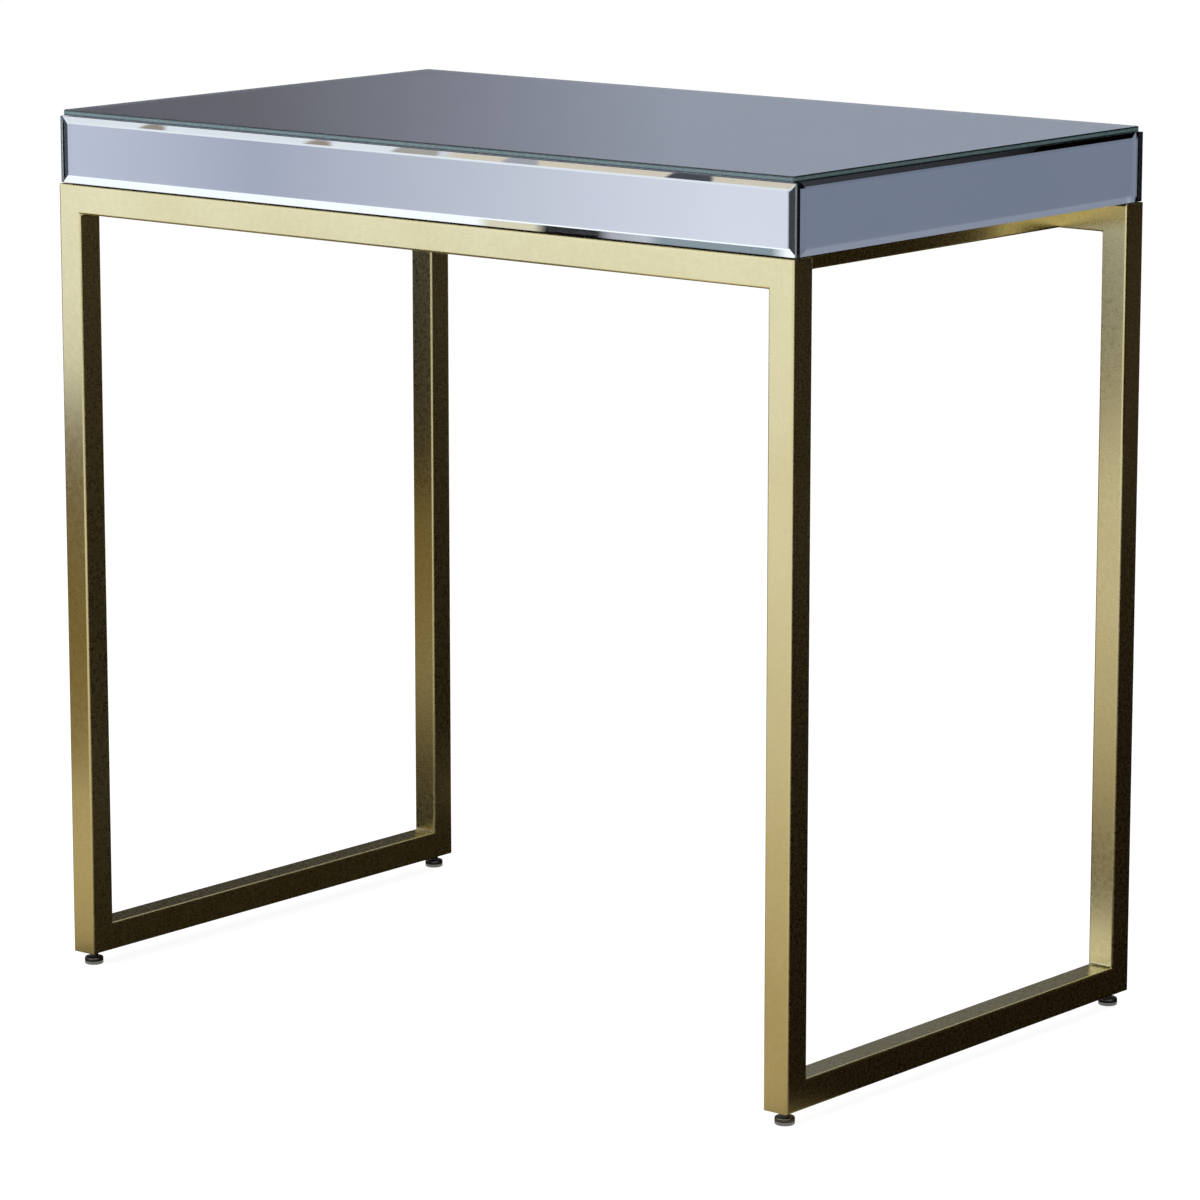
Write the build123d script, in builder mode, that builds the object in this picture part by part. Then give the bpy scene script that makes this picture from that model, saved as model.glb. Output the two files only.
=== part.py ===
from build123d import *
import os

# A dressing table: a shallow box clad in bevelled mirror, with one push-to-open drawer,
# on a welded frame of square tube with levelling feet.
# Millimetres. X runs along the front, Y towards the back and Z up.
# The origin is on the floor, under the middle of the table.

# Overall sizes
table_width = 800
table_depth = 485
foot_height = 12
frame_height = 686

# Frame tube, its welds and its cross rails
tube = 25
tube_wall = 1.5
tube_radius = 2
weld_leg = 2.5
cross_rail_inset = 68

# Levelling feet and their threaded inserts
stem_radius = 4
stem_length = 27
flat_depth = 0.75
flat_height = 3
pad_radius = 8.25
pad_height = 6.5
pad_edge = 1
socket_depth = 4.5
socket_floor_gap = 0.1
thread_fit = 0.05
insert_wall = 1.45
insert_length = 15
insert_fit = 0.1

# Mirror glass
apron_height = 59
box_inset = 1
mirror_thickness = 5
bevel_width = 6
bevel_depth = 1.5
side_mirror_gap = 0.5
front_gap_low = 1
front_gap_top = 0.5
front_reveal = 5
top_glass = 5
top_glass_inset = 2.5
top_glass_corner = 2
arris = 0.6

# Carcass boards
base_board = 9
top_board = 9
side_board = 12
back_board = 4
back_board_inset = 0.5

# Drawer
front_board = 12
front_board_gap = 2
drawer_gap = 1.5
drawer_top_gap = 3.5
drawer_side = 10
drawer_bottom = 4
groove_lift = 5
groove_depth = 4
groove_fit = 0.2
push_travel = 3
drawer_travel = 300

# Ball runners: the outer member is a lipped channel with round raceways, the inner one a smaller
# channel inside it, and two rows of balls run between them in a cage
runner_space = 12.7
runner_setback = 4.5
runner_end_gap = 15.7
runner_sheet = 1.2
runner_height = 27
runner_depth = 10.5
runner_lip = 1.8
raceway_radius = 4
inner_height = 18
inner_bend = 2
inner_tip_gap = 0.8
cage_sheet = 0.7
cage_web_offset = 2
cage_reach = 6.5
cage_end_gap = 25
ball_fit = 0.2
pocket_fit = 0.15
balls_per_row = 3

# Push latch
latch_plate_width = 40
latch_plate = 3
latch_length = 30
latch_rise = 23
barrel_radius = 6.5
latch_rib = 5
plunger_radius = 3
plunger_fit = 0.05
plunger_grip = 18
plunger_reach = 7.5
plunger_tip_edge = 1
spring_room = 6
latch_gap = 0.3
strike_width = 20
strike_height = 16
strike = 1

# Screws: head radius and height, shank radius and length
screw_hole_fit = 0.25
screw_access_fit = 0.75
pilot_fit = 0.05
frame_screw_head = 4.75
frame_screw_head_height = 3
frame_screw = 2.5
frame_screw_grip = 7
frame_screw_pitch = 300
runner_screw_head = 3
runner_screw_head_height = 1.8
runner_screw = 1.75
runner_screw_grip = 8
runner_screw_end = 5
runner_screw_rear = 15

# Places worked out from the sizes above
half_width = table_width / 2
half_depth = table_depth / 2
frame_top = foot_height + frame_height
rail_axis_z = frame_top - tube / 2
foot_x = half_width - tube / 2
foot_y = half_depth - tube / 2
cross_x = half_width - cross_rail_inset - tube / 2
tube_bore = tube - 2 * tube_wall
stem_bore_radius = stem_radius + thread_fit
insert_radius = stem_bore_radius + insert_wall

glass_under = frame_top + apron_height
face_x = half_width - box_inset
face_y = half_depth - box_inset
core_x = face_x - mirror_thickness
core_front = -face_y + mirror_thickness + front_reveal
core_back = face_y - back_board
cavity_x = core_x - side_board
cavity_low = frame_top + base_board
cavity_high = glass_under - top_board

front_back_y = -face_y + mirror_thickness + front_board
drawer_x = cavity_x - runner_space
drawer_low = cavity_low + drawer_gap
drawer_high = cavity_high - drawer_top_gap
groove_low = drawer_low + groove_lift
latch_front = core_back - latch_length
latch_z = cavity_low + latch_rise
plunger_tip = latch_front - plunger_reach
drawer_rear = plunger_tip - latch_gap - push_travel - strike
runner_z = (cavity_low + cavity_high) / 2
runner_front = front_back_y + runner_setback
runner_rear = drawer_rear - runner_end_gap
runner_length = runner_rear - runner_front

corners = {
    "front_left": (-1, -1),
    "front_right": (1, -1),
    "back_left": (-1, 1),
    "back_right": (1, 1),
}
sides = {"left": -1, "right": 1}
ends = {"front": -1, "back": 1}


def write(part, name):
    """Labels a finished piece and writes its STEP file."""
    part.label = name
    export_step(part, f"parts/{name}.step")


def square_tube(start, length, mitres=(), drillings=()):
    """A square tube along its start plane's normal, trimmed by mitre planes and drilled."""
    with BuildPart() as piece:
        with BuildSketch(start):
            RectangleRounded(tube, tube, tube_radius)
            Rectangle(tube_bore, tube_bore, mode=Mode.SUBTRACT)
        extrude(amount=length)
        for mitre in mitres:
            split(bisect_by=mitre, keep=Keep.TOP)
        for seats, radius, depth in drillings:
            with Locations(*seats):
                Hole(radius, depth)
    return piece.part


def board(low, high, drillings=(), grooves=()):
    """A flat board between two opposite corners, with drilled holes and sunk grooves."""
    with BuildPart() as piece:
        with BuildSketch(Plane(((low[0] + high[0]) / 2, (low[1] + high[1]) / 2, low[2]))):
            Rectangle(high[0] - low[0], high[1] - low[1])
        extrude(amount=high[2] - low[2])
        for start, end in grooves:
            with BuildSketch(Plane(((start[0] + end[0]) / 2, (start[1] + end[1]) / 2, start[2]))):
                Rectangle(end[0] - start[0], end[1] - start[1])
            extrude(amount=end[2] - start[2], mode=Mode.SUBTRACT)
        for seats, radius, depth in drillings:
            with Locations(*seats):
                Hole(radius, depth)
    return piece.part


def bevelled_mirror(back, width, height):
    """A mirror on its back plane, with a mitred bevel along all four edges of its face."""
    with BuildPart() as piece:
        with BuildSketch(back):
            Rectangle(width, height)
        extrude(amount=mirror_thickness)
        face = piece.faces().sort_by(Axis(back.origin, back.z_dir))[-1]
        chamfer(face.edges(), length=bevel_width, length2=bevel_depth, reference=face)
    return piece.part


def screws(seats, head_radius, head_height, shank_radius, shank_length):
    """A group of screws, each with its head on a seat plane and its shank behind it."""
    with BuildPart() as group:
        for seat in seats:
            with BuildSketch(seat):
                Circle(head_radius)
            extrude(amount=head_height)
            with BuildSketch(seat):
                Circle(shank_radius)
            extrude(amount=-shank_length)
    return group.part


os.makedirs("parts", exist_ok=True)

# Legs: mitred at the foot to the bottom rails and at the head to the top rails
for name, (side, end) in corners.items():
    foot_mitre = Plane((0, end * half_depth, foot_height), z_dir=(0, end, 1))
    head_mitre = Plane((side * half_width, 0, frame_top), z_dir=(side, 0, -1))
    leg_start = Plane((side * foot_x, end * foot_y, foot_height))
    write(square_tube(leg_start, frame_height, [foot_mitre, head_mitre]), f"leg_{name}")

# Front and back top rails
rail_head_mitres = [
    Plane((side * half_width, 0, frame_top), z_dir=(-side, 0, 1)) for side in sides.values()
]
for name, end in ends.items():
    rail_start = Plane((-half_width, end * foot_y, rail_axis_z), x_dir=(0, 1, 0), z_dir=(1, 0, 0))
    write(square_tube(rail_start, table_width, rail_head_mitres), f"top_rail_{name}")

# Left and right bottom rails, drilled underneath for the feet's inserts
rail_foot_mitres = [
    Plane((0, end * half_depth, foot_height), z_dir=(0, -end, -1)) for end in ends.values()
]
rail_foot_z = foot_height + tube / 2
for name, side in sides.items():
    rail_start = Plane((side * foot_x, -half_depth, rail_foot_z), x_dir=(1, 0, 0), z_dir=(0, 1, 0))
    foot_seats = [
        Plane((side * foot_x, end * foot_y, foot_height), z_dir=(0, 0, -1)) for end in ends.values()
    ]
    insert_holes = [(foot_seats, insert_radius + insert_fit, tube / 2)]
    rail = square_tube(rail_start, table_depth, rail_foot_mitres, insert_holes)
    write(rail, f"bottom_rail_{name}")

# Cross rails under the box: each screw goes in by a wide hole below and bears on the upper wall
frame_screw_seats = []
for name, side in sides.items():
    rail_start = Plane((side * cross_x, tube - half_depth, rail_axis_z), x_dir=(1, 0, 0), z_dir=(0, 1, 0))
    seats = [
        Plane((side * cross_x, end * frame_screw_pitch / 2, frame_top - tube_wall), z_dir=(0, 0, -1))
        for end in ends.values()
    ]
    access_seats = [seat.offset(tube - tube_wall) for seat in seats]
    screw_holes = [
        (seats, frame_screw + screw_hole_fit, tube_wall),
        (access_seats, frame_screw_head + screw_access_fit, tube / 2),
    ]
    write(square_tube(rail_start, table_depth - 2 * tube, (), screw_holes), f"cross_rail_{name}")
    frame_screw_seats += seats

frame_screw_length = tube_wall + frame_screw_grip
write(
    screws(frame_screw_seats, frame_screw_head, frame_screw_head_height, frame_screw, frame_screw_length),
    "frame_screws",
)

# Weld fillets in the frame's inside corners, one across each tube
weld_width = tube - 2 * tube_radius
weld_dip = weld_leg * (1 - 0.5**0.5)
with BuildPart() as corner_welds:
    for side, end in corners.values():
        head_corner = Plane(
            (side * (half_width - tube), end * foot_y, frame_top - tube),
            x_dir=(-side, 0, 0),
            z_dir=(0, -side, 0),
        )
        foot_corner = Plane(
            (side * foot_x, end * (half_depth - tube), foot_height + tube),
            x_dir=(0, -end, 0),
            z_dir=(-end, 0, 0),
        )
        for corner in (head_corner, foot_corner):
            with BuildSketch(corner):
                with BuildLine():
                    toe_a = (weld_leg, 0)
                    toe_b = (0, weld_leg)
                    Line((0, 0), toe_a)
                    ThreePointArc(toe_a, (weld_dip, weld_dip), toe_b)
                    Line(toe_b, (0, 0))
                make_face()
            extrude(amount=weld_width / 2, both=True)
write(corner_welds.part, "corner_welds")

# Threaded inserts for the feet, each a sleeve flush with the tube's underside
with BuildPart() as foot_inserts:
    for side, end in corners.values():
        with BuildSketch(Plane((side * foot_x, end * foot_y, foot_height))):
            Circle(insert_radius)
            Circle(stem_bore_radius, mode=Mode.SUBTRACT)
        extrude(amount=insert_length)
write(foot_inserts.part, "foot_inserts")

# Levelling feet: a pad on the floor and a threaded stem that turns in it
socket_floor = pad_height - socket_depth
stem_width = 2 * stem_radius
for name, (side, end) in corners.items():
    floor = Plane((side * foot_x, end * foot_y, 0))
    with BuildPart() as pad:
        with BuildSketch(floor):
            Circle(pad_radius)
        extrude(amount=pad_height)
        chamfer(pad.edges().filter_by(GeomType.CIRCLE).sort_by(Axis.Z)[-1], length=pad_edge)
        with Locations(floor.offset(pad_height)):
            Hole(stem_bore_radius, socket_depth)
    write(pad.part, f"foot_pad_{name}")

    with BuildPart() as stem:
        with BuildSketch(floor.offset(socket_floor + socket_floor_gap)):
            Circle(stem_radius)
        extrude(amount=stem_length)
        with BuildSketch(floor.offset(pad_height)):
            Rectangle(stem_width, stem_width)
            Rectangle(stem_width, stem_width - 2 * flat_depth, mode=Mode.SUBTRACT)
        extrude(amount=flat_height, mode=Mode.SUBTRACT)
    write(stem.part, f"foot_stem_{name}")

# Top sheet of mirror glass with eased edges
with BuildPart() as mirror_top:
    with BuildSketch(Plane.XY.offset(glass_under)):
        RectangleRounded(
            2 * (face_x - top_glass_inset), 2 * (face_y - top_glass_inset), top_glass_corner
        )
    extrude(amount=top_glass)
    top_and_bottom = mirror_top.faces().filter_by(Axis.Z)
    chamfer(top_and_bottom.edges(), length=arris)
write(mirror_top.part, "mirror_top")

# Side mirrors, glued to the carcass between the drawer front's reveal and the back board
side_mirror_height = apron_height - side_mirror_gap
for name, side in sides.items():
    mirror_back = Plane(
        (side * core_x, (core_front + core_back) / 2, glass_under - side_mirror_height / 2),
        x_dir=(0, 1, 0),
        z_dir=(side, 0, 0),
    )
    write(bevelled_mirror(mirror_back, core_back - core_front, side_mirror_height), f"mirror_side_{name}")

# Screw places in the carcass
base_seats = [seat.offset(-tube_wall) for seat in frame_screw_seats]

# Carcass: base and top boards, the two sides between them, and the back board over their ends
carcass_base = board(
    (-core_x, core_front, frame_top),
    (core_x, core_back, cavity_low),
    [(base_seats, frame_screw + pilot_fit, frame_screw_grip)],
)
write(carcass_base, "carcass_base")

carcass_top = board((-core_x, core_front, cavity_high), (core_x, core_back, glass_under))
write(carcass_top, "carcass_top")

carcass_back = board(
    (back_board_inset - face_x, core_back, frame_top + side_mirror_gap),
    (face_x - back_board_inset, face_y, glass_under),
)
write(carcass_back, "carcass_back")

outer_web_x = cavity_x - runner_sheet
outer_screw_y = [runner_front + runner_screw_end, runner_rear - runner_screw_rear]
outer_seats = {
    name: [Plane((side * outer_web_x, y, runner_z), z_dir=(-side, 0, 0)) for y in outer_screw_y]
    for name, side in sides.items()
}
runner_screw_length = runner_sheet + runner_screw_grip
for name, side in sides.items():
    side_x = sorted((side * cavity_x, side * core_x))
    carcass_side = board(
        (side_x[0], core_front, cavity_low),
        (side_x[1], core_back, cavity_high),
        [(outer_seats[name], runner_screw + pilot_fit, runner_screw_length)],
    )
    write(carcass_side, f"carcass_side_{name}")

# Drawer front: a bevelled mirror on a board that enters the carcass
front_low = frame_top + front_gap_low
front_height = apron_height - front_gap_low - front_gap_top
front_mirror_back = Plane(
    (0, mirror_thickness - face_y, front_low + front_height / 2), x_dir=(1, 0, 0), z_dir=(0, -1, 0)
)
write(bevelled_mirror(front_mirror_back, 2 * face_x, front_height), "drawer_mirror")

front_board_x = cavity_x - front_board_gap
inside_x = drawer_x - drawer_side
groove_high = groove_low + drawer_bottom + groove_fit
drawer_front = board(
    (-front_board_x, front_back_y - front_board, drawer_low),
    (front_board_x, front_back_y, cavity_high - drawer_gap),
    grooves=[
        ((-inside_x - groove_depth, front_back_y - groove_depth, groove_low),
         (inside_x + groove_depth, front_back_y, groove_high))
    ],
)
write(drawer_front, "drawer_front_board")

# Drawer sides, grooved for the bottom
for name, side in sides.items():
    side_x = sorted((side * inside_x, side * drawer_x))
    groove_x = sorted((side * inside_x, side * (inside_x + groove_depth)))
    drawer_board = board(
        (side_x[0], front_back_y, drawer_low),
        (side_x[1], drawer_rear, drawer_high),
        grooves=[((groove_x[0], front_back_y, groove_low), (groove_x[1], drawer_rear, groove_high))],
    )
    write(drawer_board, f"drawer_side_{name}")

# Drawer back, standing on the bottom, which slides in under it
bottom_top = groove_low + drawer_bottom
bottom_x = inside_x + groove_depth - groove_fit
write(
    board((-inside_x, drawer_rear - drawer_side, bottom_top), (inside_x, drawer_rear, drawer_high)),
    "drawer_back",
)
write(
    board(
        (-bottom_x, front_back_y - groove_depth + groove_fit, groove_low),
        (bottom_x, drawer_rear, bottom_top),
    ),
    "drawer_bottom",
)
write(
    board(
        (-strike_width / 2, drawer_rear, latch_z - strike_height / 2),
        (strike_width / 2, drawer_rear + strike, latch_z + strike_height / 2),
    ),
    "latch_strike",
)

# Ball runners. On each side's plane, x runs from the carcass side towards the drawer.
# Shut, the cage stands towards the rear, and it runs forward half as far as the drawer.
inner_reach = runner_space - cage_web_offset - cage_sheet - inner_tip_gap
ball_space = (runner_height - inner_height) / 2 - runner_sheet
ball_radius = ball_space / 2 - ball_fit
ball_row = inner_height / 2 + ball_space / 2
ball_x = cage_web_offset + cage_reach / 2 + cage_sheet / 2
mouth_height = runner_height - 2 * (runner_sheet + runner_lip)
raceway_bore_radius = raceway_radius - runner_sheet
cage_front = runner_front + drawer_travel / 2 + cage_end_gap
cage_length = runner_rear - cage_end_gap - cage_front
ball_pitch = cage_length / balls_per_row
ball_places = [
    (ball_x, row * ball_row, (ball + 0.5) * ball_pitch)
    for row in (-1, 1)
    for ball in range(balls_per_row)
]

for name, side in sides.items():
    start = Plane((side * cavity_x, runner_front, runner_z), x_dir=(-side, 0, 0), z_dir=(0, 1, 0))
    with BuildPart() as runner_outer:
        with BuildSketch(start):
            with Locations((runner_depth / 2, 0)):
                RectangleRounded(runner_depth, runner_height, raceway_radius)
                RectangleRounded(
                    runner_depth - 2 * runner_sheet,
                    runner_height - 2 * runner_sheet,
                    raceway_bore_radius,
                    mode=Mode.SUBTRACT,
                )
            with Locations((runner_depth - runner_sheet, 0)):
                Rectangle(2 * runner_sheet, mouth_height, mode=Mode.SUBTRACT)
        extrude(amount=runner_length)
        with Locations(*outer_seats[name]):
            Hole(runner_screw + screw_hole_fit, runner_sheet)
    write(runner_outer.part, f"runner_outer_{name}")

    with BuildPart() as runner_inner:
        with BuildSketch(start) as channel:
            with Locations((runner_space - inner_reach / 2, 0)):
                Rectangle(inner_reach, inner_height)
            fillet(channel.vertices().group_by(Axis.X)[-1], radius=inner_bend)
            with Locations((runner_space - inner_reach / 2 - runner_sheet, 0)):
                Rectangle(inner_reach, inner_height - 2 * runner_sheet, mode=Mode.SUBTRACT)
        extrude(amount=runner_length)
    write(runner_inner.part, f"runner_inner_{name}")

    cage_plane = Plane((side * cavity_x, cage_front, runner_z), x_dir=(-side, 0, 0), z_dir=(0, 1, 0))
    with BuildPart() as ball_cage:
        with BuildSketch(cage_plane):
            with Locations((cage_web_offset + cage_reach / 2, 0)):
                Rectangle(cage_reach, 2 * ball_row + cage_sheet)
            with Locations((cage_web_offset + cage_reach / 2 + cage_sheet, 0)):
                Rectangle(cage_reach, 2 * ball_row - cage_sheet, mode=Mode.SUBTRACT)
        extrude(amount=cage_length)
        for place in ball_places:
            pocket = Plane(cage_plane.from_local_coords(place), z_dir=(0, 0, 1))
            with BuildSketch(pocket):
                Circle(ball_radius + pocket_fit)
            extrude(amount=cage_sheet, both=True, mode=Mode.SUBTRACT)
    write(ball_cage.part, f"ball_cage_{name}")

    with BuildPart() as runner_balls:
        with Locations(*[cage_plane.from_local_coords(place) for place in ball_places]):
            Sphere(ball_radius)
    write(runner_balls.part, f"runner_balls_{name}")

all_outer_seats = [seat for seats in outer_seats.values() for seat in seats]
write(
    screws(all_outer_seats, runner_screw_head, runner_screw_head_height, runner_screw, runner_screw_length),
    "runner_screws",
)

# Push latch: a barrel on a rib over a screwed plate, and the sprung plunger in it
with BuildPart() as latch_housing:
    with BuildSketch(Plane((0, core_back - latch_length / 2, cavity_low))):
        Rectangle(latch_plate_width, latch_length)
    extrude(amount=latch_plate)
    with BuildSketch(Plane((0, core_back - latch_length / 2, cavity_low))):
        Rectangle(latch_rib, latch_length)
    extrude(amount=latch_rise)
    with BuildSketch(Plane((0, latch_front, latch_z), x_dir=(1, 0, 0), z_dir=(0, 1, 0))):
        Circle(barrel_radius)
    extrude(amount=latch_length)
    with Locations(Plane((0, latch_front, latch_z), z_dir=(0, -1, 0))):
        Hole(plunger_radius + plunger_fit, plunger_grip + spring_room)
write(latch_housing.part, "latch_housing")

with BuildPart() as latch_plunger:
    with BuildSketch(Plane((0, plunger_tip, latch_z), x_dir=(1, 0, 0), z_dir=(0, 1, 0))):
        Circle(plunger_radius)
    extrude(amount=latch_front + plunger_grip - plunger_tip)
    chamfer(latch_plunger.edges().sort_by(Axis.Y)[0], length=plunger_tip_edge)
write(latch_plunger.part, "latch_plunger")
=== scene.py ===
import math

import bmesh
import bpy
from mathutils import Matrix, Vector


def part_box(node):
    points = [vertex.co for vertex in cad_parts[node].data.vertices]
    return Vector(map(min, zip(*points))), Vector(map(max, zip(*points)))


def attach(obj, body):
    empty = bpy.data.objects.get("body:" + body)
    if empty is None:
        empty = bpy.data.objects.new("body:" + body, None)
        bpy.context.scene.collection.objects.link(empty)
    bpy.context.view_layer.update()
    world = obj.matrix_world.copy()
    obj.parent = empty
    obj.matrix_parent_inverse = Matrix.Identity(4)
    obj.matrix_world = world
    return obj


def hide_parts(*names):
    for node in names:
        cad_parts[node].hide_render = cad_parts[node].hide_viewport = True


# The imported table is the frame: metres, +Z up, the floor at z 0 and the drawer front facing -Y.
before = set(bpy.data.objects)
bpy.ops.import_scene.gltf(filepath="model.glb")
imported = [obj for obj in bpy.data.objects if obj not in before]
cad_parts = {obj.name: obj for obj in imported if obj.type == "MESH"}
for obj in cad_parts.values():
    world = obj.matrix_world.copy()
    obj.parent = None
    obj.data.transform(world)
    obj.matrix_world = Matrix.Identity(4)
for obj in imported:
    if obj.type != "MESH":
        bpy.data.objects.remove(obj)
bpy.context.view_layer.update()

MM = 0.001
X, Y, Z = range(3)
AXIS_NAMES = "xyz"
SIDES = {"left": -1, "right": 1}
FEET = ("front_left", "front_right", "back_left", "back_right")
BLACK = (0, 0, 0)
WHITE = (1, 1, 1)

# Camera, measured from the photograph for a square image of 1200 pixels.
CAMERA_PLACE = (2.84169, -3.44987, 1.22754)
CAMERA_AZIMUTH = 39.406
CAMERA_TILT = 11.189
CAMERA_LENS = 157.74
CAMERA_SENSOR = 36

# Materials: the range that holds most of a noise's values, and the numbers of a mix node's sockets.
NOISE_RANGE = (0.3, 0.7)
MIX_FACTOR = 0
MIX_VALUES = (2, 3)
MIX_VALUE_RESULT = 0
MIX_COLOURS = (6, 7)
MIX_COLOUR_RESULT = 2

# Glass: its depth is green, and its ground edges are less clear.
GLASS_IOR = 1.52
GLASS_TINT = (0.10, 0.62, 0.60)
GLASS_DENSITY = 4.5
GLASS_EDGE_CLEARNESS = 0.2
GLASS_EDGE_LIMIT = 0.5

# Mirrors: a film of silver lies just inside the back face of each sheet of glass. A dark mitred strip
# lies before it at each end of the front mirror: a painted dark reflection in the end bevels.
FILM_DEPTH = 0.15 * MM
FILM_THICKNESS = 0.1 * MM
FILM_INSET = 0.2 * MM
DARK_RIM = 1.6 * MM
DARK_WIDTH = 6 * MM
DARK_MITRE = 5.5 * MM

# Levelling feet. Thread shares are of half a pitch.
THREAD_PITCH = 1.25 * MM
THREAD_DEPTH = 0.62 * MM
THREAD_CREST = 0.15
THREAD_FLANK = 0.7
THREAD_STEPS = 28
THREAD_ROWS = 8
FLAT_DEPTH = 0.75 * MM
FLAT_HEIGHT = 3 * MM
KNURL_TEETH = 56
KNURL_DEPTH = 0.16 * MM
KNURL_MARGIN = 0.15 * MM
PAD_ROUND = 1.2 * MM
PAD_ROUND_STEPS = 5
PAD_STEPS_PER_TOOTH = 4
SOCKET_CLEARANCE = 0.05 * MM
SOCKET_CHAMFER = 0.4 * MM

# Small screws. The cross recess has shares of the head's radius and height.
SCREW_RADIUS = 3 * MM
SCREW_STEPS = 32
SCREW_ROUND_STEPS = 4
ROUND_OF_HEIGHT = 0.55
ROUND_OF_RADIUS = 0.3
CROSS_ARM = 0.52
CROSS_HALF_WIDTH = 0.12
CROSS_DEPTH = 0.6
CROSS_TAPER = 0.7
PAN_HEIGHT = 1.8 * MM
LOW_HEIGHT = 0.9 * MM
BACK_SCREW_COLUMNS = 4
BACK_SCREW_PITCH = 200 * MM
RUNNER_SCREW_INSET = 30 * MM
RUNNER_WEB = 1.2 * MM

# Studio. Bearings are in degrees from +X towards +Y, of what the front mirror, the side mirror and the
# top show to the camera.
AMBIENT_TINT = (0.95, 0.97, 1.0)
AMBIENT_STRENGTH = 0.35
FLOOR_DARK = (0.80, 0.80, 0.80)
FLOOR_LIGHT = (0.83, 0.83, 0.83)
FLOOR_GLOW = 0.92
FLOOR_SHADE = (0.25, 0.25, 0.25)
FLOOR_REACH = 40
TONE_REACH = 7
TONE_HEIGHT = 3 * MM
FRONT_BEARING = -131
SIDE_BEARING = 50
TOP_BEARING = 129
SOFT_ENDS = 0.25
SOFT_TOP = 0.65
SOFTBOX_GLOW = 1.3
METAL_GLOW = 1.52


# Node helpers

def add(tree, kind, inputs=None, **settings):
    """Adds a node; inputs gives values, or other nodes' outputs, by the input's name or number."""
    made = tree.nodes.new(kind)
    for name, value in settings.items():
        setattr(made, name, value)
    for name, value in (inputs or {}).items():
        if isinstance(value, bpy.types.NodeSocket):
            tree.links.new(value, made.inputs[name])
        else:
            made.inputs[name].default_value = value
    return made


def rgba(colour):
    """A colour as an input takes it; another node's output passes through."""
    return colour if isinstance(colour, bpy.types.NodeSocket) else (*colour, 1)


def combine(tree, operation, first, second=0.0):
    return add(tree, "ShaderNodeMath", {0: first, 1: second}, operation=operation).outputs[0]


def mix_values(tree, factor, first, second):
    inputs = {MIX_FACTOR: factor, MIX_VALUES[0]: first, MIX_VALUES[1]: second}
    return add(tree, "ShaderNodeMix", inputs).outputs[MIX_VALUE_RESULT]


def blend(tree, factor, first, second, kind="MIX"):
    """Mixes two colours."""
    inputs = {MIX_FACTOR: factor, MIX_COLOURS[0]: rgba(first), MIX_COLOURS[1]: rgba(second)}
    made = add(tree, "ShaderNodeMix", inputs, data_type="RGBA", blend_type=kind)
    return made.outputs[MIX_COLOUR_RESULT]


def remap(tree, value, low, high, to_low, to_high, kind="LINEAR"):
    """Takes a range of values to another, and holds what lies beyond it."""
    ends = {"Value": value, "From Min": low, "From Max": high, "To Min": to_low, "To Max": to_high}
    return add(tree, "ShaderNodeMapRange", ends, interpolation_type=kind).outputs[0]


def spread(tree, value, low, high):
    """Takes most of a noise's values to between low and high."""
    return remap(tree, value, *NOISE_RANGE, low, high)


def rising(tree, value, start, full, share=1.0):
    """0 up to start, and share from full on."""
    return remap(tree, value, start, full, 0.0, share)


def ramp(tree, value, stops):
    """A colour ramp through (place, colour) stops."""
    made = add(tree, "ShaderNodeValToRGB", {0: value})
    elements = made.color_ramp.elements
    while len(elements) < len(stops):
        elements.new(1.0)
    for element, (place, colour) in zip(elements, stops):
        element.position = place
        element.color = (*colour, 1.0)
    return made.outputs[0]


def part_of(tree, vector, axis):
    return add(tree, "ShaderNodeSeparateXYZ", {0: vector}).outputs[axis]


def generated(tree, axis):
    """Places along one axis of a piece's own box, from 0 to 1."""
    return part_of(tree, add(tree, "ShaderNodeTexCoord").outputs["Generated"], axis)


def place_in(tree, stretch=(1, 1, 1)):
    """Places in metres, stretched along the axes."""
    place = add(tree, "ShaderNodeTexCoord").outputs["Object"]
    return add(tree, "ShaderNodeMapping", {"Vector": place, "Scale": stretch}).outputs[0]


def noise(tree, scale, stretch=(1, 1, 1), detail=3.0):
    inputs = {"Vector": place_in(tree, stretch), "Scale": scale, "Detail": detail}
    return add(tree, "ShaderNodeTexNoise", inputs).outputs[0]


def cells(tree, scale, output="Distance"):
    return add(tree, "ShaderNodeTexVoronoi", {"Vector": place_in(tree), "Scale": scale}).outputs[output]


def empty_material(name):
    made = bpy.data.materials.new(name)
    made.use_nodes = True
    made.node_tree.nodes.clear()
    return made, made.node_tree


def shaded(name, values, colour, roughness, height, strength, distance):
    """A material of one shader: fixed values, and colour, roughness and bump made by the given functions."""
    made, tree = empty_material(name)
    bump = {"Height": height(tree), "Strength": strength, "Distance": distance}
    inputs = {
        **values,
        "Base Color": colour(tree),
        "Roughness": roughness(tree),
        "Normal": add(tree, "ShaderNodeBump", bump).outputs[0],
    }
    shader = add(tree, "ShaderNodeBsdfPrincipled", inputs)
    add(tree, "ShaderNodeOutputMaterial", {"Surface": shader.outputs[0]})
    return made


# Finishes of the table

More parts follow.
